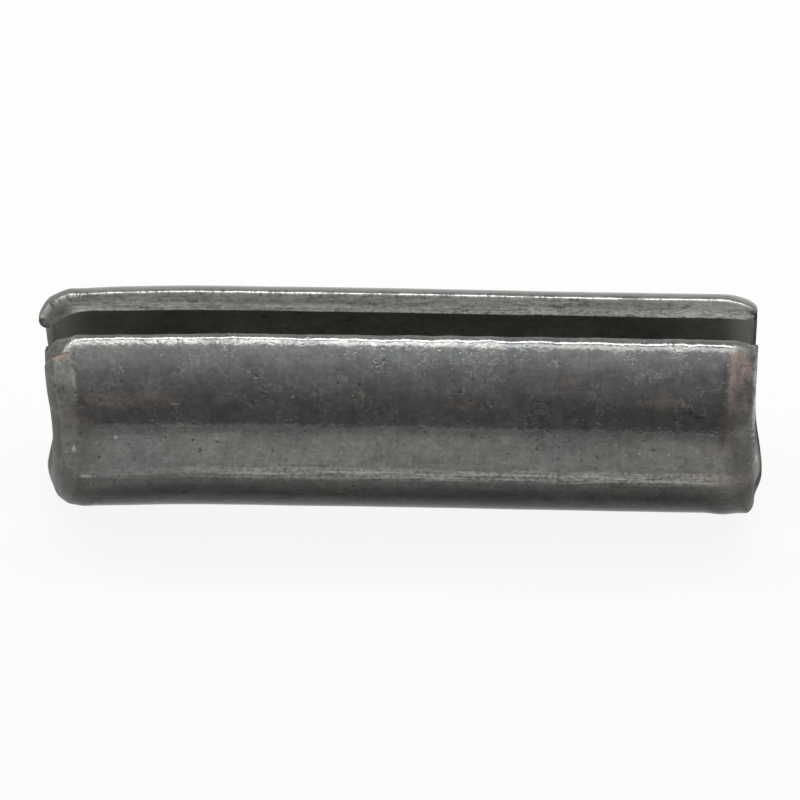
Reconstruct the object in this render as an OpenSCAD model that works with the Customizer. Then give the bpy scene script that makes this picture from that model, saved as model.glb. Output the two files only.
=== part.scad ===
// Slotted spring pin, rolled from one strip of sheet steel.
// It lies along X with its slot facing up, as it comes to rest on a table.
// The origin is at mid length on the axis of the tube. The lead end points to -X.

/* [Tube] */
// Outside diameter of the relaxed pin
outer_d = 10.6; // [9:0.1:14]
// Thickness of the rolled sheet
wall = 1.0; // [0.8:0.05:1.25]
// Overall length, over the furthest points of both ends
pin_len = 35; // [20:1:60]

/* [Slot] */
// Width of the slot across its outer edges
slot_w = 3.2; // [1.5:0.1:5]
// Radius along the outer edges of the slot
slot_edge_r = 0.25; // [0.1:0.05:0.4]

/* [Lead end] */
// Length over which the lead end is swaged inwards
lead_len = 2.05; // [1.5:0.05:2.6]
// How far the outside has come in at the lead tip
lead_drop = 1.2; // [0.9:0.05:1.3]
// How far the bore has come in at the lead tip
lead_draw = 0.8; // [0.6:0.05:1]
// Radius on the inner edge of the lead mouth
lead_edge = 0.4; // [0.15:0.05:0.45]
// How deep the lead end dips at its two sides
lead_dip = 0.65; // [0.1:0.05:0.8]
// How many degrees the lead end leans, so that its slot side is the longer
lead_lean = 6.3; // [0:0.1:8]

/* [Tail end] */
// Length of the bevel around the tail tip
tail_len = 1.3; // [0.6:0.05:2]
// How far the outside has come in at the tail tip
tail_drop = 0.55; // [0.2:0.05:0.6]
// Width of the chamfer on the inner edge of the tail mouth
tail_edge = 0.1; // [0.05:0.05:0.15]
// How deep the tail end dips at its two sides
tail_dip = 0.4; // [0.1:0.05:0.8]
// How many degrees the tail end leans, so that its back is the longer
tail_lean = 1; // [0:0.1:6]

/* [Hidden] */
$fn = 96;

steel = [0.33, 0.33, 0.32];
outer_r = outer_d / 2;
bore_r = outer_r - wall;
half_len = pin_len / 2;
slot_angle = asin(slot_w / 2 / outer_r);   // from the middle of the slot to one of its faces
crown_r = 4;                               // radius of the crown between the scoops of an end
tip_flat = 0.03;                           // depth of the flat left on the furthest points
clear = 1;                                 // how far the cutters run past what they cut

// Section that a bevel takes off the outside of the +X end: all that lies beyond an arc,
// which leaves the outside tangentially and has come in by the drop when it reaches the tip.
module bevel_section(length, drop) {
    arc_r = (pow(length, 2) + pow(drop, 2)) / (2 * drop);
    difference() {
        translate([outer_r - drop, half_len - length])
            square([drop + clear, length + clear]);
        translate([outer_r - arc_r, half_len - length])
            circle(r = arc_r);
    }
}

// Section of the plain mouth: the bore runs straight to a chamfer on the inner edge of the tip.
module tail_mouth_section() {
    polygon([
        [0, half_len - tail_edge],
        [bore_r, half_len - tail_edge],
        [bore_r + tail_edge, half_len],
        [bore_r + tail_edge, half_len + clear],
        [0, half_len + clear]
    ]);
}

// Section of the swaged mouth: an arc curls in from the bore, and runs into the radius on the
// inner edge of the tip, which is made of three flats.
module lead_mouth_section() {
    mouth_r = bore_r - lead_draw;
    curl_r = (pow(lead_len - lead_edge, 2) + pow(lead_draw, 2)) / (2 * lead_draw);
    translate([bore_r - curl_r, half_len - lead_len])
        circle(r = curl_r);
    polygon(concat(
        [[0, half_len + clear], [0, half_len - lead_len], [mouth_r, half_len - lead_len]],
        [for (i = [0 : 3])
            let (a = 90 * i / 3)
            [mouth_r + lead_edge * (1 - cos(a)), half_len - lead_edge * (1 - sin(a))]],
        [[mouth_r + lead_edge, half_len + clear]]
    ));
}

// Section through the wall, as [radius, distance along the axis].
module wall_section() {
    difference() {
        translate([0, -half_len])
            square([outer_r, pin_len]);
        translate([0, lead_len - half_len])
            square([bore_r, pin_len - lead_len - tail_edge]);
        bevel_section(tail_len, tail_drop);
        tail_mouth_section();
        mirror([0, 1])
            bevel_section(lead_len, lead_drop);
        mirror([0, 1])
            lead_mouth_section();
    }
}

// Half of the slot's section, seen along the axis: a wedge up to the square edge of the rolled
// strip. At the rim it flares along the edge radius, in three flats.
module half_slot_section() {
    edge_angle = slot_angle + asin(slot_edge_r / (outer_r - slot_edge_r));
    edge_centre = (outer_r - slot_edge_r) * [sin(edge_angle), cos(edge_angle)];
    far = outer_r + clear;
    polygon(concat(
        [[0, 0]],
        [for (i = [0 : 3])
            let (a = 180 - slot_angle - (90 - slot_angle + edge_angle) * i / 3)
            edge_centre + slot_edge_r * [cos(a), sin(a)]],
        [far * [sin(edge_angle), cos(edge_angle)], [0, far]]
    ));
}

module slot_cutter() {
    rotate([90, 0, 90])
        linear_extrude(height = pin_len + 2 * clear, center = true)
            for (side = [0, 1])
                mirror([side, 0])
                    half_slot_section();
}

// Radius of the scoops that dip the sides of an end.
function scoop_r(dip) = (pow(bore_r, 2) + pow(dip, 2)) / (2 * dip);

// How far in the crown between the scoops is centred, and the angle over which it runs from
// the middle to either scoop.
function crown_x(dip) = scoop_r(dip) - dip - sqrt(pow(scoop_r(dip) + crown_r, 2) - pow(bore_r, 2));
function crown_angle(dip) = asin(bore_r / (scoop_r(dip) + crown_r));

// How far the trimmed end lies behind the line where its two scoops would meet, at the
// distance y from the middle.
function trim(dip, y) = y < crown_r * sin(crown_angle(dip))
    ? -crown_x(dip) - sqrt(pow(crown_r, 2) - pow(y, 2))
    : dip - scoop_r(dip) + sqrt(pow(scoop_r(dip), 2) - pow(bore_r - y, 2));

// Plan of what is cut away beyond the +X end. A scoop hollows each side, and over the middle
// they run into a crown of a few flats, so that the wall reaches furthest at the slot and at
// the back.
module trim_plan(dip) {
    intersection() {
        translate([-dip - clear, -outer_r - clear])
            square([dip + 4 * clear, outer_d + 2 * clear]);
        union() {
            for (side = [-1, 1])
                translate([scoop_r(dip) - dip, side * bore_r])
                    circle(r = scoop_r(dip));
            polygon(concat(
                [for (i = [-2 : 2])
                    let (a = crown_angle(dip) * i / 1.8)
                    [crown_x(dip) + crown_r * cos(a), crown_r * sin(a)]],
                [[scoop_r(dip), bore_r], [scoop_r(dip), -bore_r]]
            ));
        }
    }
}

// Cutter for the +X end. It passes the tip by a hair at the point [y, z] of the end's
// outline, and from there it leans.
module end_cutter(dip, y, z, lean) {
    translate([half_len + trim(dip, y) + tip_flat, 0, z])
        rotate([0, lean, 0])
            linear_extrude(height = 4 * outer_d, center = true)
                trim_plan(dip);
}

module slotted_tube() {
    lead_rim = bore_r - lead_draw + lead_edge;
    lip_y = lead_rim * sin(slot_angle);
    lip_z = lead_rim * cos(slot_angle);
    color(steel)
        difference() {
            rotate([0, 90, 0])
                rotate_extrude()
                    wall_section();
            slot_cutter();
            end_cutter(tail_dip, 0, -bore_r, -tail_lean);
            mirror([1, 0, 0])
                end_cutter(lead_dip, lip_y, lip_z, lead_lean);
        }
}

slotted_tube();
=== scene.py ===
"""Looks of a slotted spring pin of blackened spring steel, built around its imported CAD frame."""
import math

import bmesh
import bpy
import numpy as np
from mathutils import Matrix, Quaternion, Vector, noise


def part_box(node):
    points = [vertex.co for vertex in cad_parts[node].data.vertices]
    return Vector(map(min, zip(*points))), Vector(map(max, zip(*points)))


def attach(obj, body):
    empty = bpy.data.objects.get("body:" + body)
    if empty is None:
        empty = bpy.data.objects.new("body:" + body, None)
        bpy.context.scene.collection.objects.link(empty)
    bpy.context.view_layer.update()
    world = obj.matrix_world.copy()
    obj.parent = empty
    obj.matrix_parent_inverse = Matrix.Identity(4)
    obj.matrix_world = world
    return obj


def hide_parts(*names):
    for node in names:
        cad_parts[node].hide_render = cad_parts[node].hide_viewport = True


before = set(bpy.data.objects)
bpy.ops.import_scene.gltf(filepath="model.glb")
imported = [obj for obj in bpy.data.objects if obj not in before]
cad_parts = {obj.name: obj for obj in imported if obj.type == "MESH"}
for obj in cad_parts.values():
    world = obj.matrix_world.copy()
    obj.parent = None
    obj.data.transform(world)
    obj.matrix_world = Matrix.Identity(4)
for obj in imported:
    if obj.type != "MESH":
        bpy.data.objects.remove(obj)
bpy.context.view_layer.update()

# The pin is worked out in millimetres along X, and in degrees round the X axis, which run from
# the top over the far side, the bottom and the near side to the top again.
MM = 0.001
TOP, NEAR_SIDE, TOP_AGAIN = 90, 360, 450

LOW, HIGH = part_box("slotted_tube")
HALF = (HIGH[0] - LOW[0]) / 2 / MM          # half the pin's length
OUTER_R = (HIGH[1] - LOW[1]) / 2 / MM
WALL = 1.0
BORE_R = OUTER_R - WALL
SLOT_HALF_ANGLE = 17.5                      # from the top to a slot face

# The lead end's section: back from its tip, and radius
LEAD_OUTER = [(0.04, 4.10), (0.11, 4.28), (0.20, 4.45), (0.31, 4.63), (0.42, 4.77), (0.58, 4.88),
              (0.80, 4.99), (1.00, 5.08), (1.20, 5.160), (1.30, 5.193), (1.38, 5.205),
              (1.60, 5.212), (2.00, 5.225), (2.50, 5.258), (3.00, 5.285), (3.60, 5.30)]
LEAD_NOSE = [(0.04, 4.10), (0.005, 3.97), (0.0, 3.88), (0.015, 3.79), (0.06, 3.70)]
LEAD_INNER = [(0.06, 3.70), (0.13, 3.61), (0.25, 3.535), (0.42, 3.51), (0.60, 3.62), (0.80, 3.78),
              (1.07, 3.95), (1.40, 4.13), (1.75, 4.25), (2.10, 4.30)]
LEAD_ZONE = 3.6                             # as long as the outer side is drawn down

# The tail end's section: a short worn bevel round a flat land
TAIL_OUTER = [(1.60, 5.30), (1.30, 5.292), (1.05, 5.27), (0.80, 5.22), (0.58, 5.155),
              (0.39, 5.07), (0.25, 4.99), (0.12, 4.89), (0.04, 4.80), (0.01, 4.75)]
TAIL_INNER = [(0.16, 4.30), (0.11, 4.305), (0.07, 4.33), (0.03, 4.37), (0.006, 4.42)]
TAIL_ZONE = 1.6

# How far each end falls short of full length: degrees round the pin, millimetres
LEAD_RECESS = [(107.5, 0.0), (126, 0.0), (148, 0.24), (162, 0.30), (185, 0.46), (210, 0.70),
               (228, 0.80), (240, 0.74), (254, 0.61), (264, 0.52), (274, 0.47), (282, 0.51),
               (290, 0.61), (300, 0.68), (318, 0.72), (332, 0.75), (345, 0.77), (358, 0.76),
               (368, 0.76), (378, 0.71), (386, 0.64), (400, 0.47), (412, 0.37), (425, 0.29),
               (432.5, 0.27)]
TAIL_RECESS = [(107.5, 0.30), (126, 0.29), (150, 0.26), (180, 0.30), (202, 0.32), (213, 0.27),
               (223, 0.24), (232, 0.16), (240, 0.06), (248, -0.01), (256, -0.06), (263, -0.06),
               (270, 0.04), (277, 0.19), (285, 0.29), (297, 0.33), (322, 0.36), (345, 0.38),
               (385, 0.38), (400, 0.38), (415, 0.33), (432.5, 0.27)]

# How long each end's section is drawn out: degrees round the pin, share of its plain length
LEAD_STRETCH = [(107.5, 1.16), (140, 1.06), (200, 0.9), (260, 0.75), (307, 0.66), (330, 0.8),
                (365, 1.0), (432.5, 1.0)]
TAIL_STRETCH = [(107.5, 1.4), (150, 1.1), (200, 0.9), (260, 0.55), (307, 0.30), (335, 0.7),
                (365, 1.0), (432.5, 1.0)]

# How far the axis stands above its ends along the pin: the lead end droops a little
BOW = [(-17.5, -0.015), (-14.6, 0.0), (-12.8, 0.055), (-11.2, 0.115), (-8.0, 0.145),
       (-4.0, 0.135), (0.0, 0.115), (4.0, 0.08), (8.0, 0.045), (12.0, 0.012), (17.5, 0.0)]

# How many degrees the near lip leans over the slot, along the pin
LIP_LEAN = [(-17.5, 1.4), (-16.2, 1.2), (-15.0, 0.4), (-8.0, 0.3), (-4.0, 0.6), (0.0, 1.1),
            (6.0, 1.2), (12.0, 1.9), (17.5, 1.9)]

# How round the lips' edges are worn: the far and the near lip's outer edge, the edge round a tip
# and the bore's edge. The outer edge is worn more towards both ends, from one distance to another.
FAR_EDGE, NEAR_EDGE, TIP_EDGE, BORE_EDGE = 0.15, 0.36, 0.10, 0.07
END_WEAR, WORN_FROM, WORN_FULL = 0.10, 2.4, 0.6

# How much longer round the pin than deep a near lip's edge is: plain, and more for each degree
# that the lip leans
NEAR_REACH, REACH_PER_LEAN = 1.35, 0.25

# How the lips vary along the pin: amount, distance between bumps, seed's step, row of the noise.
# A face wanders in degrees, an edge in millimetres.
FAR_SEED, NEAR_SEED = 3, 8
FACE_WAVES = [(0.35, 1.6, 0, 0), (0.3, 5.0, 1, 0)]
EDGE_WAVES = [(0.05, 1.1, 2, 4), (0.03, 0.45, 5, 9)]

# How far the far lip's tips are tucked in, at the lead and at the tail: over which degrees, and
# over which distances from the end
LEAD_TUCK, TAIL_TUCK = 0.10, 0.05
TUCK_ROUND, TUCK_BACK = (112, 134), (0.2, 1.1)

# The skin's unevenness: height, distance between bumps, seed and octaves. All of it lies a hair
# below the plain surface.
SWELLS = [(0.012, 5.0, 11, 2), (0.0035, 0.9, 12, 3)]
SKIN_DROP = 0.010
SEED_SHIFT = (7.3, 3.1, 5.7)                # how far one seed's noise lies from the next

# Burrs raised low down behind each end: along, degrees round, half sizes (mm, degrees), height
BURRS = [(14.85, 306, 0.85, 26, 0.075), (-15.20, 306, 1.10, 26, 0.065)]

# The knocked-down lead corner of the near lip: how deep it is, the degrees over which it starts,
# and the slanting ridge it ends at, as the ridge's place at one angle and its slant per degree
CORNER_DEPTH, CORNER_ROUND = 0.10, (417.5, 421.5)
RIDGE_BACK, RIDGE_AT, RIDGE_SLANT = 0.82, 419, 0.052
RIDGE_BEFORE, RIDGE_BEHIND = 0.16, 0.04     # how wide the ridge's rise is, on either side

# A line of rubbing along the near side: degrees round, and half its width in degrees
RUB_ANGLE, RUB_REACH = NEAR_SIDE - 8.4, 5.2

# Patches of rust: along, degrees round, half sizes in millimetres, strength
RUST = [(16.7, 415.5, 0.58, 0.90, 1.0), (16.75, 400.5, 0.62, 1.2, 0.5),
        (16.3, 384, 0.8, 0.9, 0.18), (-16.2, 386, 1.2, 0.8, 0.14), (-13.5, 394, 3.0, 0.45, 0.3),
        (8.4, 405, 0.5, 0.4, 0.3), (15.0, 352, 1.6, 0.6, 0.30), (16.6, 348, 0.8, 0.6, 0.30),
        (15.9, 372, 0.7, 0.35, 0.4), (-2.0, 398, 0.35, 0.3, 0.3), (-8.6, 395, 0.9, 0.35, 0.22),
        (3.0, 393, 1.2, 0.3, 0.25), (13.2, 396, 1.3, 0.4, 0.3)]

# Single marks: along, degrees round, half sizes in millimetres
DEEP_PITS = [(-10.25, 366.5, 0.07, 0.16), (-9.4, 371.5, 0.08, 0.07), (-12.0, 374.0, 0.07, 0.05),
             (14.25, 391.3, 0.30, 0.075), (14.80, 389.2, 0.28, 0.07), (14.0, 386.0, 0.2, 0.05),
             (12.5, 371.0, 0.10, 0.08), (5.2, 367.0, 0.07, 0.06), (3.4, 377.0, 0.09, 0.05),
             (-16.66, 420.4, 0.42, 0.055)]
BRIGHT_NICKS = [(-11.45, 391.6, 0.17, 0.05), (-5.45, 396.0, 0.09, 0.07), (-14.5, 374.2, 0.06, 0.08),
                (-16.45, 367.0, 0.07, 0.17), (-15.7, 348.6, 0.40, 0.09), (12.8, 383.4, 0.06, 0.05),
                (-16.38, 424.0, 0.10, 0.14)]
ORANGE_SPOT = [(-16.72, 418.5, 0.33, 0.125)]

# How finely the mesh is divided: along the pin, of which at each end, round it, over the round of
# a lip's edge, and across the wall
LENGTH_STEPS = 178
OUTER_END_STEPS, INNER_END_STEPS = (36, 14), (20, 6)
ROUND_STEPS = 150
EDGE_STEPS = 6
LAND_STEPS = 4


# ---------- numbers ----------

def smooth_table(table, at):
    """A smooth curve through (position, value) pairs, read at each position in at."""
    xs = np.array([p for p, _ in table], float)
    ys = np.array([v for _, v in table], float)
    slopes = np.gradient(ys, xs)
    i = np.clip(np.searchsorted(xs, at) - 1, 0, len(xs) - 2)
    gap = xs[i + 1] - xs[i]
    t = np.clip((at - xs[i]) / gap, 0, 1)
    return ((2 * t**3 - 3 * t**2 + 1) * ys[i] + (t**3 - 2 * t**2 + t) * gap * slopes[i]
            + (3 * t**2 - 2 * t**3) * ys[i + 1] + (t**3 - t**2) * gap * slopes[i + 1])


def rumple(points, scale, seed, octaves=3):
    """Smooth noise from about -1 to 1 at each point, with bumps about scale apart."""
    shift = Vector([seed * apart for apart in SEED_SHIFT])
    return np.array([noise.fractal(Vector(p) / scale + shift, 1.0, 2.0, octaves) for p in points])


def waves(x, seed, table):
    """The sum of the table's kinds of such noise, at each distance along the pin."""
    return sum(amount * rumple([(v, row, 0) for v in x], scale, seed + step)
               for amount, scale, step, row in table)


def step_up(value, start, end):
    """0 up to start and 1 from end on, with a smooth step between them."""
    t = np.clip((value - start) / (end - start), 0, 1)
    return t * t * (3 - 2 * t)


def step_down(value, start, end):
    return 1 - step_up(value, start, end)


def line_at(value, middle, reach, crest=1.0):
    """A line along middle that fades to 0 at reach. A crest over 1 makes its full part wider."""
    return np.clip(crest - crest * np.abs(value - middle) / reach, 0, 1)


def corner_ridge(angles):
    """How far along the pin the ridge lies that ends the knocked-down corner."""
    return -HALF + RIDGE_BACK + RIDGE_SLANT * (angles - RIDGE_AT)


def lip_corner(angles, along):
    """1 in the knocked-down lead corner of the near lip."""
    ridge = corner_ridge(angles)
    return (step_up(angles, *CORNER_ROUND)
            * step_down(along, ridge - RIDGE_BEFORE, ridge + RIDGE_BEHIND))


# ---------- the wall's section: x along the pin, r out from its axis ----------

def resampled(points, count):
    """The smooth curve through the points as count evenly spaced points."""
    points = np.array(points, float)
    gaps = np.linalg.norm(np.diff(points, axis=0), axis=1)
    run = np.concatenate([[0], np.cumsum(gaps)])
    at = np.linspace(0, run[-1], count)
    return np.stack([smooth_table(list(zip(run, points[:, i])), at) for i in (0, 1)], axis=1)


def lead_row(points, count):
    return resampled(points, count) + (-HALF, 0)


def tail_row(points, count):
    return (HALF, 0) - resampled(points, count) * (1, -1)


def level_row(start, end, radius, count):
    along = np.linspace(start, end, count + 2)[1:-1]
    return np.stack([along, np.full(count, radius)], axis=1)


class Section:
    """The loop round the wall's section. It runs along the outer side to the tail, over the land
    there, back along the bore to the lead, and round the nose."""

    def __init__(self):
        outer = np.concatenate([
            lead_row(LEAD_OUTER, OUTER_END_STEPS[0]),
            level_row(LEAD_ZONE - HALF, HALF - TAIL_ZONE, OUTER_R,
                      LENGTH_STEPS - sum(OUTER_END_STEPS)),
            tail_row(TAIL_OUTER, OUTER_END_STEPS[1])])
        inner = np.concatenate([
            lead_row(LEAD_INNER, INNER_END_STEPS[0]),
            level_row(LEAD_INNER[-1][0] - HALF, HALF - TAIL_INNER[0][0], BORE_R,
                      LENGTH_STEPS - sum(INNER_END_STEPS)),
            tail_row(TAIL_INNER, INNER_END_STEPS[1])])
        land = np.linspace(outer[-1], inner[-1], LAND_STEPS + 1)[1:-1]
        nose = lead_row(LEAD_NOSE, LAND_STEPS + 1)
        self.points = np.concatenate([outer, land, inner[::-1], nose[-2:0:-1]])
        self.x, self.r = self.points.T
        self.count, self.rows = len(self.points), len(outer)

        along = np.roll(self.points, -1, axis=0) - np.roll(self.points, 1, axis=0)
        outs = np.stack([-along[:, 1], along[:, 0]], axis=1)
        self.outs = outs / np.linalg.norm(outs, axis=1)[:, None]

        # which points lie on the outer side, and which in the bore; the others are tips
        where = np.arange(self.count)
        bore_from = self.rows + LAND_STEPS - 1
        self.outside = where < self.rows
        self.inside = (where >= bore_from) & (where < bore_from + self.rows)
        # the places in the loop that face each other across the wall, and those between them
        self.outer_ids = range(self.rows)
        self.inner_ids = range(bore_from + self.rows - 1, bore_from - 1, -1)
        self.land_ids = range(self.rows, bore_from)
        self.nose_ids = range(self.count - 1, bore_from + self.rows - 1, -1)


# ---------- the pin's shape ----------

class Lip:
    """One lip of the slot: where its face stands, how round its edge is worn, and over how far."""

    def __init__(self, section, near):
        x = section.x
        seed, edge = (NEAR_SEED, NEAR_EDGE) if near else (FAR_SEED, FAR_EDGE)
        lean = smooth_table(LIP_LEAN, x) if near else np.zeros(section.count)
        wear = END_WEAR * step_up(np.abs(x), HALF - WORN_FROM, HALF - WORN_FULL)
        edge = edge + wear + waves(x, seed, EDGE_WAVES)
        self.half_angle = SLOT_HALF_ANGLE + waves(x, seed, FACE_WAVES) - lean
        self.edge = np.where(section.outside, edge, np.where(section.inside, BORE_EDGE, TIP_EDGE))
        self.reach = NEAR_REACH + REACH_PER_LEAN * lean if near else 1.0

    def turn(self, share):
        """The degrees that a share of the edge's round takes up."""
        return np.degrees(self.edge * self.reach * share / OUTER_R)


def columns_round(section, far, near):
    """Each column of the mesh, from lip to lip: its points' angles, and how far they are let in."""
    start, stop = TOP + far.half_angle, TOP_AGAIN - near.half_angle
    columns = []
    for step in range(EDGE_STEPS):
        b = math.radians(90 * (1 - step / EDGE_STEPS))
        columns.append((start + far.turn(1 - math.sin(b)), far.edge * (1 - math.cos(b))))
    first, last = start + far.turn(1), stop - near.turn(1)
    for step in range(ROUND_STEPS + 1):
        t = step / ROUND_STEPS
        columns.append((first * (1 - t) + last * t, np.zeros(section.count)))
    for step in range(1, EDGE_STEPS + 1):
        b = math.radians(90 * step / EDGE_STEPS)
        columns.append((stop - near.turn(1 - math.sin(b)), near.edge * (1 - math.cos(b))))
    return columns, start, stop


def end_shift(angles, recess, stretch, back, zone):
    """How far an end's points are moved in, round the pin."""
    shortened = (1 - smooth_table(stretch, angles)) * np.minimum(back, zone)
    return smooth_table(recess, angles) - shortened


def placed(points, angles):
    """Section points at their angles round the pin, with the ends' outline and the bow."""
    px, pr = points.T
    from_lead, from_tail = px + HALF, HALF - px
    tuck = (LEAD_TUCK * step_down(from_lead, *TUCK_BACK)
            + TAIL_TUCK * step_down(from_tail, *TUCK_BACK))
    pr = pr - step_down(angles, *TUCK_ROUND) * tuck
    lead = end_shift(angles, LEAD_RECESS, LEAD_STRETCH, from_lead, LEAD_ZONE)
    tail = end_shift(angles, TAIL_RECESS, TAIL_STRETCH, from_tail, TAIL_ZONE)
    span = np.clip((from_lead - LEAD_ZONE) / (2 * HALF - LEAD_ZONE - TAIL_ZONE), 0, 1)
    px = px + lead * (1 - span) - tail * span
    a = np.radians(angles)
    return np.stack([px, -pr * np.cos(a), pr * np.sin(a) + smooth_table(BOW, px)], axis=1)


def skin_grid(section, columns):
    """The points of the skin, column by column, with its unevenness, burrs and knocked corner."""
    grid, normals = [], []
    for angles, inset in columns:
        a = np.radians(angles)
        grid.append(placed(section.points - section.outs * inset[:, None], angles))
        normals.append(np.stack([section.outs[:, 0], -section.outs[:, 1] * np.cos(a),
                                 section.outs[:, 1] * np.sin(a)], axis=1))
    grid, normals = np.array(grid), np.array(normals)
    flat = grid.reshape(-1, 3)
    swell = sum(height * rumple(flat, *settings) for height, *settings in SWELLS)
    swell = swell.reshape(grid.shape[:2]) - SKIN_DROP
    for j, (angles, _) in enumerate(columns):
        swell[j] -= np.where(section.inside, 0, CORNER_DEPTH * lip_corner(angles, section.x))
        for at, turn, half_along, half_turn, height in BURRS:
            raised = (step_down(np.abs(section.x - at), 0, half_along)
                      * step_down(np.abs(angles - turn), 0, half_turn))
            swell[j] += np.where(section.outside, height * raised, 0)
    return grid + normals * swell[..., None]


def skin_faces(width, count):
    """The faces between neighbouring columns, each a closed loop of count points."""
    faces = []
    for j in range(width - 1):
        for k in range(count):
            n = (k + 1) % count
            faces.append((j * count + k, j * count + n, (j + 1) * count + n, (j + 1) * count + k))
    return faces


def fill_slot_face(section, column, turned, verts, faces, skin, extra):
    """Fills one lip's face across the wall. Its new points go to verts, their skin to extra."""
    base = column * section.count
    lines = []
    for i, (outer, inner) in enumerate(zip(section.outer_ids, section.inner_ids)):
        ends = (base + outer, base + inner)
        if i == 0:
            middle = [base + k for k in section.nose_ids]
        elif i == section.rows - 1:
            middle = [base + k for k in section.land_ids]
        else:
            middle = []
            a, b = Vector(verts[ends[0]]), Vector(verts[ends[1]])
            for m in range(1, LAND_STEPS):
                t = m / LAND_STEPS
                middle.append(len(verts))
                verts.append(tuple(a.lerp(b, t)))
                extra.append(skin[column, outer] * (1 - t) + skin[column, inner] * t)
        lines.append([ends[0], *middle, ends[1]])
    for here, ahead in zip(lines, lines[1:]):
        for m in range(LAND_STEPS):
            quad = (here[m], here[m + 1], ahead[m + 1], ahead[m])
            faces.append(quad if turned else quad[::-1])


# ---------- where the wear shows, and where shade and light are painted ---

# The marks that the material reads from the mesh: the sheared slot faces, the bore, the bared
# bevels, the bright worn edges, the line of rubbing, the rust, and the places that are dulled
# and darkened, partly by scale and dirt and partly as painted shade.
# In the functions below, steps in angles are degrees round the pin, and the others millimetres.
MARKS = ("cut", "bore", "bevel", "worn", "rub", "rust", "dull_and_painted_shade")


def worn_edges(section, angles, from_far, from_near):
    """Bright worn edges, and on the near lip a painted highlight over worn steel as well. from_far
    and from_near are the distances from the lips' faces.
    """
    x = section.x
    from_lead, from_tail = x + HALF, HALF - x
    far_lip = line_at(from_far, 0.07, 0.18, 1.2)
    # near lip: painted highlight over worn steel, along the lamps' highlight, fading out to the
    # tail
    near_lip_wear_and_painted_highlight = 0.35 * line_at(from_near, 0.60, 0.35) * step_down(x, 2.0, 8.0)
    lips = np.maximum(far_lip, near_lip_wear_and_painted_highlight) * (0.35 + 0.65 * step_up(from_tail, 0.5, 1.3))
    lips = lips * (1 - lip_corner(angles, x))
    lead_crease = (1.35 * line_at(from_lead, 1.30, 0.13)
                   * step_up(angles, 380, 405) * step_down(angles, 413, 419))
    tail_corner = (line_at(from_tail, 0.06, 0.16)
                   * (0.36 * step_up(angles, 340, 370) + 0.44 * step_up(angles, 372, 392)))
    ridge = 1.3 * line_at(x, corner_ridge(angles) + 0.05, 0.14) * step_up(angles, 418.5, 420)
    return np.maximum.reduce([lips, lead_crease, tail_corner, ridge])


def dull_and_painted_shade_places(section, angles):
    """Places that are dulled and darkened, most of them at the two ends: partly scale and dirt,
    and partly painted shade.
    """
    x, outside, inside = section.x, section.outside, section.inside
    from_lead, from_tail = x + HALF, HALF - x
    corner = lip_corner(angles, x)
    # on the outer side, painted shade: a dark line in the crease behind the tail's bevel,
    # shade over the lips' ends, and shade on both bevels low down
    tail_crease_painted_shade = (line_at(from_tail, 1.48, 0.30, 1.2)
                 * step_up(angles, 368, 376) * step_down(angles, 414, 420))
    far_lip_end = step_down(angles, 112, 116) * step_down(from_tail, 0.25, 0.45)
    near_lip_end = 0.95 * step_up(angles, 411, 418) * step_down(from_tail, 0.8, 1.5)
    low_lead = 0.60 * step_down(from_lead, 1.1, 3.4) * step_down(angles, 383, 398)
    low_tail = (0.8 * step_down(from_tail, 0.9, 1.7)
                * step_up(angles, 124, 142) * step_down(angles, 372, 385))
    low_painted_shade = np.maximum(low_lead, low_tail) * (1 + 0.45 * step_down(angles, 346, 362))
    # on the near lip by the knocked-down corner: painted shade over its highlight
    by_corner = 0.55 * step_up(angles, 414, 418) * step_down(x, -16.1, -15.4)
    shell = outside * np.maximum.reduce([tail_crease_painted_shade, far_lip_end, near_lip_end, low_painted_shade, by_corner])
    # round the tips, over the tail's land and just inside the lead mouth: partly scale and
    # dirt, partly painted shade
    nose = 1.15 * np.where(outside, step_down(from_lead, 0.40, 0.52), 1.0) * ~inside * (x < 0)
    land = 1.9 * np.where(outside, 0, step_down(from_tail, 0.05, 0.25)) * (x > 0)
    funnel = inside * step_down(from_lead, 0.4, 0.6)
    # in the knocked-down corner itself: partly brown scale, partly painted shade in the dent
    return np.maximum.reduce([shell, nose, land, funnel, 1.25 * corner])


def rust_patches(section, angles):
    rust = np.zeros(section.count)
    for at, turn, half_along, half_round, amount in RUST:
        reach = np.hypot((section.x - at) / half_along,
                         np.radians(angles - turn) * OUTER_R / half_round)
        rust = np.maximum(rust, amount * step_down(reach, 0.55, 1.2))
    return rust


def wear_marks(section, angles, start, stop, faceward):
    """How strongly each of MARKS shows at the points of one column. faceward is 1 on a lip's face
    and 0 beyond the round of its edge."""
    x, outside = section.x, section.outside
    from_lead, from_tail = x + HALF, HALF - x
    from_far, from_near = (math.radians(1) * OUTER_R * turn
                           for turn in (angles - start, stop - angles))
    # bared bevels show more high on the near side: painted light above, painted shade low down
    upper = step_up(angles, 376, 410)
    lead_bevel = step_down(from_lead, 1.20, 1.36) * (0.15 + 0.85 * upper)
    tail_bevel = step_down(from_tail, 1.15, 1.4) * (0.2 + 0.25 * upper)
    rub = (line_at(angles, RUB_ANGLE, RUB_REACH, 2.0)
           * (0.2 + 0.8 * step_up(x, -12.5, -5.5)) * (1 - 0.7 * step_up(x, 14.6, 16.0)))
    return {
        "cut": np.full(section.count, step_up(faceward, 0.35, 0.9)),
        "bore": section.inside * step_up(from_lead, 0.1, 0.6),
        "bevel": outside * np.maximum(lead_bevel, tail_bevel),
        "worn": outside * worn_edges(section, angles, from_far, from_near),
        "rub": outside * rub,
        "rust": outside * rust_patches(section, angles),
        "dull_and_painted_shade": dull_and_painted_shade_places(section, angles),
    }


# ---------- the mesh ----------

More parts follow.
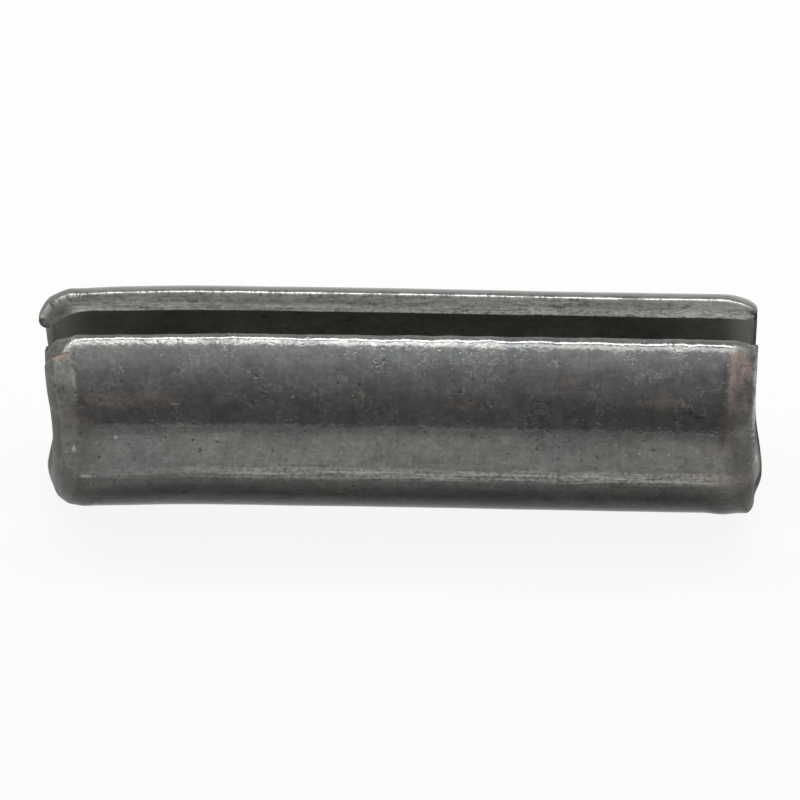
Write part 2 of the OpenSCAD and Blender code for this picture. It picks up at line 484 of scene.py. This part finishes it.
def mesh_object(name, verts, faces, skin, marks):
    """A smooth object in metres, with where each point lies on the skin and its marks."""
    mesh = bpy.data.meshes.new(name)
    mesh.from_pydata([tuple(c * MM for c in v) for v in verts], [], faces)
    layer = mesh.attributes.new("skin", "FLOAT_VECTOR", "POINT")
    layer.data.foreach_set("vector", skin.ravel())
    for mark, values in marks.items():
        layer = mesh.attributes.new(mark, "FLOAT", "POINT")
        layer.data.foreach_set("value", values)
    facing = bmesh.new()
    facing.from_mesh(mesh)
    bmesh.ops.recalc_face_normals(facing, faces=facing.faces)
    facing.to_mesh(mesh)
    facing.free()
    mesh.update()
    mesh.shade_smooth()
    piece = bpy.data.objects.new(name, mesh)
    bpy.context.collection.objects.link(piece)
    return piece


def pin_mesh():
    section = Section()
    far, near = Lip(section, near=False), Lip(section, near=True)
    columns, start, stop = columns_round(section, far, near)
    last = len(columns) - 1
    verts = [tuple(p) for p in skin_grid(section, columns).reshape(-1, 3)]
    faces = skin_faces(len(columns), section.count)

    # along the skin, round it and out from the axis, in millimetres
    skin = np.array([np.stack([section.x, np.radians(angles) * OUTER_R, section.r], axis=1)
                     for angles, _ in columns])
    rows = []
    for j, (angles, _) in enumerate(columns):
        faceward = max(EDGE_STEPS - j, j - (last - EDGE_STEPS), 0) / EDGE_STEPS
        rows.append(wear_marks(section, angles, start, stop, faceward))

    extra = []
    fill_slot_face(section, 0, False, verts, faces, skin, extra)
    fill_slot_face(section, last, True, verts, faces, skin, extra)
    marks = {}
    for mark in MARKS:
        on_faces = np.full(len(extra), 1.0 if mark == "cut" else 0.0)
        marks[mark] = np.concatenate([row[mark] for row in rows] + [on_faces])
    skin = np.concatenate([skin.reshape(-1, 3), np.array(extra)])
    return mesh_object("slotted_tube_dressed", verts, faces, skin, marks)


# ---------- material ----------

# Colours of the finish, as linear light
OXIDE = (0.203, 0.202, 0.192)
OXIDE_COOL = (0.188, 0.193, 0.196)
OXIDE_BROWN = (0.201, 0.195, 0.186)
# bare steel of worn places, also used as painted light in the bore's mouths and on the near lip
BARE_STEEL_AND_PAINTED_LIGHT = (0.62, 0.61, 0.57)
RUBBED_STEEL = (0.535, 0.535, 0.495)
BEVEL_STEEL = (0.46, 0.455, 0.425)
CUT_STEEL = (0.60, 0.60, 0.555)
RUST_BROWN = (0.315, 0.225, 0.188)
RUST_ORANGE = (0.42, 0.26, 0.195)
BORE_SCALE = (0.245, 0.241, 0.220)
# the dark of pits, also used as painted shade
PIT_AND_PAINTED_SHADE = (0.055, 0.052, 0.048)

# How much each mark roughens the surface, and how metallic the plain finish is
PLAIN_ROUGHNESS = 0.035
ROUGHENED = {"cut": 0.24, "bore": 0.2, "bevel": 0.10, "rusted": 0.22, "rubbed": 0.10, "pit": 0.2,
             "dull_and_painted_shade": 0.25}
PLAIN_METALLIC = 0.88
EDGE_TINT = (0.72, 0.72, 0.72, 1)
BUMP_HEIGHT = 0.0000035                     # metres


class Shades:
    """Short ways to add nodes to a material. Each call gives the socket that comes out."""

    def __init__(self, mat):
        mat.use_nodes = True
        self.nodes, self.links = mat.node_tree.nodes, mat.node_tree.links
        self.shader = self.nodes["Principled BSDF"]

    def feed(self, socket, value):
        if isinstance(value, bpy.types.NodeSocket):
            self.links.new(value, socket)
        else:
            socket.default_value = value

    def mark(self, name):
        made = self.nodes.new("ShaderNodeAttribute")
        made.attribute_name = name
        return made.outputs["Vector" if name == "skin" else "Fac"]

    def axes(self, vector):
        made = self.nodes.new("ShaderNodeSeparateXYZ")
        self.feed(made.inputs[0], vector)
        return made.outputs

    def math(self, operation, a, b=0.0, c=0.0, clamp=False):
        made = self.nodes.new("ShaderNodeMath")
        made.operation, made.use_clamp = operation, clamp
        for socket, value in zip(made.inputs, (a, b, c)):
            self.feed(socket, value)
        return made.outputs[0]

    def plus(self, a, b):
        return self.math("ADD", a, b)

    def times(self, first, *others):
        for other in others:
            first = self.math("MULTIPLY", first, other)
        return first

    def most(self, first, *others):
        for other in others:
            first = self.math("MAXIMUM", first, other)
        return first

    def line(self, value, slope, base):
        """value * slope + base"""
        return self.math("MULTIPLY_ADD", value, slope, base)

    def less(self, value, mask, share, clamp=False):
        """value, less the share of the mask"""
        return self.math("SUBTRACT", value, self.times(mask, share), clamp=clamp)

    def vector(self, operation, a, b=None):
        made = self.nodes.new("ShaderNodeVectorMath")
        made.operation = operation
        self.feed(made.inputs[0], a)
        if b is not None:
            made.inputs[1].default_value = b
        return made.outputs["Value" if operation == "LENGTH" else "Vector"]

    def noise(self, vector, scale, detail=3.0, rough=0.55, warp=0.0):
        made = self.nodes.new("ShaderNodeTexNoise")
        self.feed(made.inputs["Vector"], vector)
        for name, value in (("Scale", scale), ("Detail", detail), ("Roughness", rough),
                            ("Distortion", warp)):
            made.inputs[name].default_value = value
        return made.outputs["Fac"]

    def stretched_noise(self, vector, scales, *settings):
        return self.noise(self.vector("MULTIPLY", vector, scales), *settings)

    def cells(self, vector, scale):
        made = self.nodes.new("ShaderNodeTexVoronoi")
        self.feed(made.inputs["Vector"], vector)
        made.inputs["Scale"].default_value = scale
        return made.outputs["Distance"]

    def span(self, value, low, high, to_low=0.0, to_high=1.0):
        """Maps low..high to to_low..to_high, smoothly, and no further."""
        made = self.nodes.new("ShaderNodeMapRange")
        made.interpolation_type = "SMOOTHSTEP"
        for socket, v in zip(made.inputs, (value, low, high, to_low, to_high)):
            self.feed(socket, v)
        return made.outputs[0]

    def mix(self, share, a, b, kind="MIX"):
        made = self.nodes.new("ShaderNodeMixRGB")
        made.blend_type = kind
        self.feed(made.inputs[0], share)
        for socket, value in zip(made.inputs[1:], (a, b)):
            self.feed(socket, value if isinstance(value, bpy.types.NodeSocket) else (*value, 1.0))
        return made.outputs[0]

    def toned(self, colour, tone):
        """The colour times the tone."""
        grey = self.nodes.new("ShaderNodeCombineColor")
        for socket in grey.inputs:
            self.feed(socket, tone)
        return self.mix(1.0, colour, grey.outputs[0], "MULTIPLY")


class Finish:
    """The steel's patterns and marks as sockets, all read from the skin, and what they make."""

    def __init__(self, shades):
        self.s = s = shades
        self.skin = skin = s.mark("skin")
        self.along, self.round, self.out = s.axes(skin)
        self.cut, self.bore, self.bevel, self.worn = map(s.mark, MARKS[:4])
        self.rub, self.rust, self.dull_and_painted_shade = map(s.mark, MARKS[4:])

        # patterns of the oxide, from the widest to the finest
        self.cloud = s.noise(skin, 0.22, 1)
        self.blotches = s.noise(skin, 0.8, 2, 0.6)
        self.patch = s.stretched_noise(skin, (0.6, 0.8, 0.8), 1.1, 3, 0.62, 0.4)
        self.scale = s.noise(skin, 2.4, 2, 0.5, 0.6)
        self.grain = s.noise(skin, 4.5, 4, 0.74)
        self.fray = s.noise(skin, 6.0, 1, 0.6)
        self.hoops = s.stretched_noise(skin, (5.0, 0.8, 0.8), 1.0, 3, 0.62)
        self.draws = s.stretched_noise(skin, (0.35, 7.0, 7.0), 1.0, 2, 0.62)
        self.broken = s.plus(self.patch, s.times(self.grain, 1.3))

        # where the wear, the pits and the rust really show, broken up by the grain
        frayed = s.line(self.fray, 0.22, -0.11)
        wide = s.times(s.span(s.plus(s.cells(skin, 1.5), frayed), 0.17, 0.08),
                       s.span(self.blotches, 0.46, 0.60))
        fine = s.times(s.span(s.plus(s.cells(skin, 3.6), frayed), 0.20, 0.10),
                       s.span(self.blotches, 0.42, 0.64, 0.0, 0.6))
        self.dents = s.most(wide, fine)
        self.pit = s.most(self.dents, self.spots(DEEP_PITS, 0.45))
        speck = s.times(s.span(s.plus(s.cells(skin, 2.6), frayed), 0.13, 0.05),
                        s.span(self.blotches, 0.62, 0.42))
        self.speck = s.most(speck, self.spots(BRIGHT_NICKS, 0.4))
        self.bright = s.times(self.worn, s.span(self.broken, 0.98, 1.30))
        self.rubbed = s.times(self.rub, s.span(s.line(self.grain, 1.3, self.draws), 0.92, 1.42))
        self.rusted = s.times(self.rust, s.span(self.broken, 0.72, 1.18))

    def spots(self, places, blur):
        """1 in each listed spot, its outline frayed by the grain."""
        s = self.s
        total = 0.0
        for along, turn, half_along, half_round in places:
            middle = (along, math.radians(turn) * OUTER_R, OUTER_R)
            shift = s.vector("SUBTRACT", self.skin, middle)
            shift = s.vector("MULTIPLY", shift, (1 / half_along, 1 / half_round, 0.5))
            reach = s.plus(s.vector("LENGTH", shift), s.line(self.fray, 2.4, -1.2))
            total = s.most(s.span(reach, 1.0 + blur, 1.0 - blur), total)
        return total

    def oxide(self):
        s = self.s
        cool = s.span(s.plus(self.cloud, s.times(self.scale, 0.8)), 0.82, 1.04)
        return s.mix(s.span(self.patch, 0.50, 0.64), s.mix(cool, OXIDE, OXIDE_COOL), OXIDE_BROWN)

    def tone(self):
        """How light the film is, about 1, from all the patterns together, and darker towards the
        tail by painted shade.
        """
        s = self.s
        return s.times(s.line(self.patch, 0.9, 0.55), s.line(self.scale, 0.6, 0.7),
                       s.line(self.grain, 0.8, 0.6), s.line(self.hoops, 0.36, 0.82),
                       s.line(self.draws, 0.3, 0.85), s.span(self.along, 1.5, 6.5, 1.0, 0.92))

    def bore_colour(self, tone):
        """Dark scale, darkened by painted shade from 7 to 12.5 mm out from the middle, and
        lightened by painted light falling in at both mouths.
        """
        s = self.s
        bore_painted_shade = s.span(s.math("ABSOLUTE", self.along), 7.0, 12.5, 0.0, 0.42)
        scale = s.mix(bore_painted_shade, s.toned(BORE_SCALE, tone), PIT_AND_PAINTED_SHADE)
        lead_mouth_painted_light = s.span(self.along, 2.3 - HALF, 0.6 - HALF, 0.0, 0.75)
        tail_mouth_painted_light = s.span(self.along, HALF - 1.7, HALF - 0.6, 0.0, 0.36)
        return s.mix(s.most(lead_mouth_painted_light, tail_mouth_painted_light), scale, BARE_STEEL_AND_PAINTED_LIGHT)

    def cut_colour(self):
        """The sheared faces: streaked along the pin, lighter towards the bore and the tail, with
        painted shade on their inner half near the lead tip.
        """
        s = self.s
        inner_half = s.span(self.out, BORE_R + 0.62, BORE_R + 0.2)
        tone = s.times(s.line(self.grain, 1.7, 0.15), s.line(self.draws, 1.6, 0.2),
                       s.line(inner_half, s.times(self.patch, 1.3), 0.8),
                       s.span(self.along, 1.0, 7.0, 1.05, 1.23))
        streaks = s.stretched_noise(self.skin, (1.7, 6.5, 6.5), 1.0, 3, 0.70)
        to_tail = s.span(self.along, -2.0, 8.0, 0.0, 0.80)
        shine = s.times(s.span(streaks, 0.51, 0.64), s.line(inner_half, 0.6, s.plus(to_tail, 0.13)))
        dark = s.times(s.span(streaks, 0.48, 0.38), s.span(self.along, -2.0, 8.0, 0.40, 0.58))
        tip_painted_shade = s.times(s.span(self.along, 1.8 - HALF, 1.0 - HALF, 0.0, 0.72), inner_half)
        steel = s.mix(shine, s.toned(CUT_STEEL, tone), BARE_STEEL_AND_PAINTED_LIGHT)
        return s.mix(s.most(dark, tip_painted_shade), steel, PIT_AND_PAINTED_SHADE)

    def curls(self):
        """Thin pale curls in the film, high on the near side."""
        s = self.s
        edge = s.math("ABSOLUTE", s.math("SUBTRACT", self.scale, 0.5))
        high = s.span(self.round, math.radians(376) * OUTER_R, math.radians(388) * OUTER_R)
        return s.times(s.span(edge, 0.040, 0.008),
                       s.span(self.blotches, 0.48, 0.62, 0.0, 0.34), high)

    def colour(self):
        """The film, then what lies bare of it, and then each mark upon the one before."""
        s, tone = self.s, self.tone()
        bared = s.times(self.bevel, s.span(self.broken, 0.8, 1.15, 0.35, 1.0))
        streaked = s.times(s.math("SUBTRACT", self.bevel, self.dull_and_painted_shade, clamp=True),
                           s.span(self.hoops, 0.50, 0.66, 0.0, 0.5))
        colour = s.toned(self.oxide(), tone)
        for share, upper in ((bared, s.toned(BEVEL_STEEL, tone)),
                             (self.bore, self.bore_colour(tone)),
                             (self.cut, self.cut_colour()),
                             # places darkened partly by scale and dirt and partly by painted shade
                             (s.times(self.dull_and_painted_shade, 0.66), PIT_AND_PAINTED_SHADE),
                             (self.rusted, s.toned(RUST_BROWN, tone)),
                             (s.times(self.rubbed, 0.85), RUBBED_STEEL),
                             (self.bright, BARE_STEEL_AND_PAINTED_LIGHT),
                             (s.times(self.speck, 0.55), BARE_STEEL_AND_PAINTED_LIGHT),
                             (self.curls(), RUBBED_STEEL),
                             (streaked, RUBBED_STEEL),
                             (self.spots(ORANGE_SPOT, 0.3), RUST_ORANGE),
                             (s.times(self.pit, 0.66), PIT_AND_PAINTED_SHADE)):
            colour = s.mix(share, colour, upper)
        return colour

    def metallic(self):
        s = self.s
        metal = s.line(self.cut, -0.35, s.line(self.bore, -0.72, PLAIN_METALLIC))
        metal = s.less(s.less(metal, self.rusted, 0.4), self.bevel, 0.12)
        return s.less(metal, self.dull_and_painted_shade, 0.35, clamp=True)

    def roughness(self):
        rough = self.s.line(self.patch, 0.12, PLAIN_ROUGHNESS)
        for mark, added in ROUGHENED.items():
            rough = self.s.line(getattr(self, mark), added, rough)
        return rough

    def height(self):
        s = self.s
        height = s.line(self.grain, 0.9, s.times(self.patch, 1.8))
        height = s.line(self.scale, 3.0, height)
        height = s.line(self.dents, -4.0, height)
        return s.line(s.most(self.cut, self.rubbed), s.times(self.grain, 2.5), height)


def steel_material():
    mat = bpy.data.materials.new("black_oxide_steel")
    s = Shades(mat)
    finish = Finish(s)
    s.feed(s.shader.inputs["Base Color"], finish.colour())
    s.feed(s.shader.inputs["Metallic"], finish.metallic())
    s.feed(s.shader.inputs["Roughness"], finish.roughness())
    s.shader.inputs["Specular Tint"].default_value = EDGE_TINT
    bump = s.nodes.new("ShaderNodeBump")
    bump.inputs["Distance"].default_value = BUMP_HEIGHT
    bump.inputs["Strength"].default_value = 1.0
    s.feed(bump.inputs["Height"], finish.height())
    s.feed(s.shader.inputs["Normal"], bump.outputs[0])
    return mat


# ---------- stage, light and camera ----------

FLOOR_SIZE = 3.0                            # metres, half its side
FLOOR_GAP = 0.00002                         # below the CAD's lowest point
FLOOR_COLOUR = (0.785, 0.785, 0.752, 1)
SEEN_WHITE = 0.90                           # share of plain white in what the eye sees of the floor
# painted glow: close under the pin the floor glows a little for glossy rays, which lightens the
# pin's reflection of its shadow: how far from its middle line, and how much
SHINE_NONE, SHINE_FULL, SHINE_SHARE = 0.0048, 0.0026, 0.5

# The room's light by degrees above the horizon: a dim room in front, a pale wall behind
FRONT_SKY = [(0, 0.46), (5.0, 0.46), (6.0, 0.19), (20, 0.185), (30, 0.20), (38, 0.26), (47, 0.35),
             (60, 0.46), (70, 0.62), (80, 0.82), (90, 0.95)]
BACK_SKY = [(0, 0.6), (12, 0.62), (30, 0.72), (60, 0.75), (80, 0.9), (90, 1.0)]
SKY_TINT = (0.985, 0.995, 1.02)
SKY_BLEND = 0.12                            # how far past the middle the two run into each other

# Each soft box: place, width and height in metres, and watts. Both aim at the pin's middle.
SOFT_BOX_AIM = Vector((0, 0, 0))
SOFT_BOXES = {"softbox_top": ((0, 0.0118, 0.10), 0.20, 0.016, 0.0228),
              "softbox_back": ((0, 0.0565, 0.14), 0.30, 0.018, 0.145)}

CAMERA_ELEVATION, CAMERA_ROLL = 36.5, 0.69  # degrees
CAMERA_DISTANCE, SEEN_WIDTH = 1.2, 0.03865  # metres
CAMERA_AIM = Vector((-0.012 * MM, 0, -0.02 * MM))


def stage_floor():
    """A white floor that takes the pin's shadow."""
    mesh = bpy.data.meshes.new("floor")
    size, z = FLOOR_SIZE, LOW[2] - FLOOR_GAP
    mesh.from_pydata([(-size, -size, z), (size, -size, z), (size, size, z), (-size, size, z)],
                     [], [(0, 1, 2, 3)])
    floor = bpy.data.objects.new("floor", mesh)
    bpy.context.collection.objects.link(floor)
    mat = bpy.data.materials.new("floor_white")
    mat.use_nodes = True
    nodes, links = mat.node_tree.nodes, mat.node_tree.links
    nodes.clear()
    out = nodes.new("ShaderNodeOutputMaterial")
    mix = nodes.new("ShaderNodeMixShader")
    diffuse = nodes.new("ShaderNodeBsdfDiffuse")
    diffuse.inputs["Color"].default_value = FLOOR_COLOUR
    glow = nodes.new("ShaderNodeEmission")
    glow.inputs["Color"].default_value = (1, 1, 1, 1)
    glow.inputs["Strength"].default_value = 1.0
    path = nodes.new("ShaderNodeLightPath")
    # most of what the eye sees is plain white, and the rest keeps the shadow
    direct, seen = nodes.new("ShaderNodeMath"), nodes.new("ShaderNodeMath")
    direct.operation, seen.operation = "MULTIPLY", "MULTIPLY_ADD"
    direct.inputs[1].default_value = SEEN_WHITE
    # painted glow: glossy rays see the floor close under the pin as white
    place, apart = nodes.new("ShaderNodeNewGeometry"), nodes.new("ShaderNodeSeparateXYZ")
    off, under = nodes.new("ShaderNodeMath"), nodes.new("ShaderNodeMapRange")
    off.operation = "ABSOLUTE"
    for name, value in (("From Min", SHINE_NONE), ("From Max", SHINE_FULL),
                        ("To Min", 0.0), ("To Max", SHINE_SHARE)):
        under.inputs[name].default_value = value
    for source, target in ((place.outputs["Position"], apart.inputs[0]),
                           (apart.outputs["Y"], off.inputs[0]),
                           (off.outputs[0], under.inputs["Value"]),
                           (under.outputs[0], seen.inputs[1]),
                           (path.outputs["Is Camera Ray"], direct.inputs[0]),
                           (path.outputs["Is Glossy Ray"], seen.inputs[0]),
                           (direct.outputs[0], seen.inputs[2]),
                           (seen.outputs[0], mix.inputs["Fac"]),
                           (diffuse.outputs[0], mix.inputs[1]),
                           (glow.outputs[0], mix.inputs[2]),
                           (mix.outputs[0], out.inputs["Surface"])):
        links.new(source, target)
    floor.data.materials.append(mat)
    return floor


def room_world():
    """The room's light, from the height above the horizon and from which side it comes."""
    world = bpy.data.worlds.new("room")
    bpy.context.scene.world = world
    world.use_nodes = True
    nodes, links = world.node_tree.nodes, world.node_tree.links
    nodes.clear()
    out = nodes.new("ShaderNodeOutputWorld")
    back = nodes.new("ShaderNodeBackground")
    coord = nodes.new("ShaderNodeTexCoord")
    split = nodes.new("ShaderNodeSeparateXYZ")
    side = nodes.new("ShaderNodeMapRange")
    side.inputs["From Min"].default_value = -SKY_BLEND
    side.inputs["From Max"].default_value = SKY_BLEND
    mix = nodes.new("ShaderNodeMixRGB")
    for stops, socket in ((FRONT_SKY, mix.inputs[1]), (BACK_SKY, mix.inputs[2])):
        ramp = nodes.new("ShaderNodeValToRGB")
        links.new(split.outputs["Z"], ramp.inputs["Fac"])
        links.new(ramp.outputs["Color"], socket)
        elements = ramp.color_ramp.elements
        while len(elements) < len(stops):
            elements.new(0.5)
        for e, (degrees, level) in zip(elements, stops):
            e.position = math.sin(math.radians(degrees))
            e.color = (*(level * tint for tint in SKY_TINT), 1)
    links.new(coord.outputs["Generated"], split.inputs[0])
    links.new(split.outputs["Y"], side.inputs["Value"])
    links.new(side.outputs[0], mix.inputs["Fac"])
    links.new(mix.outputs[0], back.inputs["Color"])
    links.new(back.outputs[0], out.inputs["Surface"])


def soft_box(name, place, width, height, power):
    data = bpy.data.lights.new(name, "AREA")
    data.shape = "RECTANGLE"
    data.size, data.size_y = width, height
    data.energy = power
    light = bpy.data.objects.new(name, data)
    light.location = place
    light.rotation_mode = "QUATERNION"
    light.rotation_quaternion = (SOFT_BOX_AIM - Vector(place)).to_track_quat("-Z", "Y")
    bpy.context.collection.objects.link(light)


def camera():
    data = bpy.data.cameras.new("camera")
    data.sensor_width = 36
    data.lens = data.sensor_width * CAMERA_DISTANCE / SEEN_WIDTH
    data.clip_start, data.clip_end = 0.01, 20
    cam = bpy.data.objects.new("camera", data)
    bpy.context.collection.objects.link(cam)
    e = math.radians(CAMERA_ELEVATION)
    back = Vector((0, -math.cos(e), math.sin(e)))
    cam.location = CAMERA_AIM + back * CAMERA_DISTANCE
    cam.rotation_mode = "QUATERNION"
    roll = Quaternion((0, 0, 1), math.radians(CAMERA_ROLL))
    cam.rotation_quaternion = (-back).to_track_quat("-Z", "Y") @ roll
    bpy.context.scene.camera = cam


camera()
pin = pin_mesh()
pin.data.materials.append(steel_material())
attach(pin, "root")
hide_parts("slotted_tube")
stage_floor()
room_world()
for name, settings in SOFT_BOXES.items():
    soft_box(name, *settings)
bpy.context.scene.view_settings.view_transform = "Standard"
